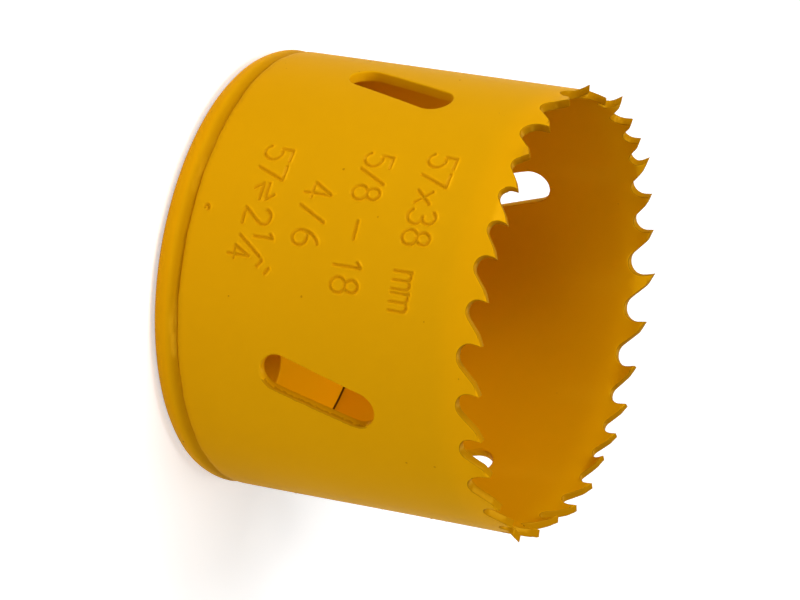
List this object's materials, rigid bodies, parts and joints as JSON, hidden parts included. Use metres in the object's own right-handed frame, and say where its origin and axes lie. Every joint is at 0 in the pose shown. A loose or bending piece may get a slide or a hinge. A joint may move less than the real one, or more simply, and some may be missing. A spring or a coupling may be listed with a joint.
{
  "type": "hole saw",
  "caption": "Painted steel cup with set teeth round its mouth, slanted slots for pushing out the plug, and a threaded end plate with drive pin holes.",
  "frame": {"origin": "middle of the flat back face of the end plate, which the saw stands on", "axes": "+Z is the saw's own axis, from the back face to the teeth; -Y is the side that faces the camera in the picture; seen from the teeth the saw turns anticlockwise as it cuts"},
  "size_m": [0.0568, 0.056, 0.0446],
  "materials": {
    "yellow_paint": "gloss"
  },
  "bodies": {
    "root": {"cup_wall": "yellow_paint", "end_plate": "yellow_paint"}
  },
  "joints": []
}
